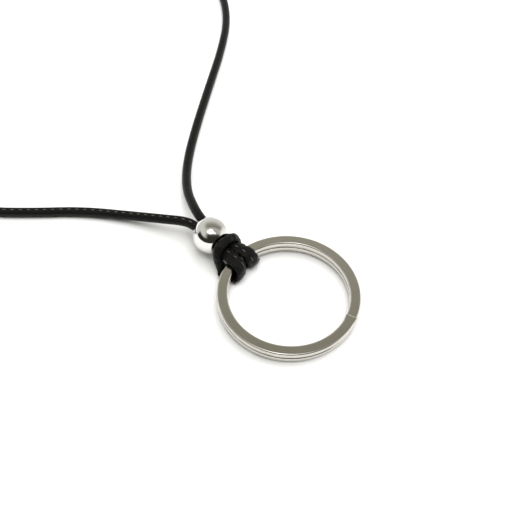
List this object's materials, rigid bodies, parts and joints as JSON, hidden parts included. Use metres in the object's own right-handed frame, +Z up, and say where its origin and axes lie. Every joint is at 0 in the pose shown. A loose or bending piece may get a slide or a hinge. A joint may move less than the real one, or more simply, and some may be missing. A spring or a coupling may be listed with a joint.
{
  "type": "split key ring",
  "caption": "Split key ring of flat spring-steel wire, held by a cow hitch in a round black cord lanyard whose two strands run through a polished steel bead.",
  "frame": {"origin": "below the centre of the ring, on the surface that it lies on", "axes": "+Z up, away from the surface; the cord leaves the ring towards -X and +Y"},
  "size_m": [0.1088, 0.1598, 0.008],
  "materials": {
    "ring_steel": "nickel-plated spring steel, satin, warm grey",
    "bead_steel": "polished stainless steel, mirror",
    "cord": "black round stitched imitation leather, satin",
    "tie": "plain black storage tie"
  },
  "bodies": {
    "cord": {"hitch_knot": "cord", "cord_in_bead_upper": "cord", "cord_in_bead_left": "cord", "cord_upper_strand": "cord", "cord_left_strand": "cord", "cord_coil": "cord", "storage_tie": "tie"},
    "ring": {"split_ring": "ring_steel"},
    "coil": {"opening_coil": "ring_steel"},
    "bead": {"bead": "bead_steel"}
  },
  "joints": [
    {"name": "ring_turn", "type": "hinge", "parent": "cord", "child": "ring", "pos_m": [0, 0, 0.00047], "axis": [0.0247, -0.0207, 0.9995], "range_deg": [-20, 145]},
    {"name": "coil_open", "type": "hinge", "parent": "ring", "child": "coil", "pos_m": [-0.01446, -0.00003, 0.00223], "axis": [-0.0003, -0.9998, -0.0207], "range_deg": [0, 6], "stiffness_Nm_per_rad": 2},
    {"name": "bead_spin", "type": "hinge", "parent": "cord", "child": "bead", "pos_m": [-0.016, 0.01391, 0.004], "axis": [-0.6561, 0.7547, 0], "continuous": true}
  ]
}
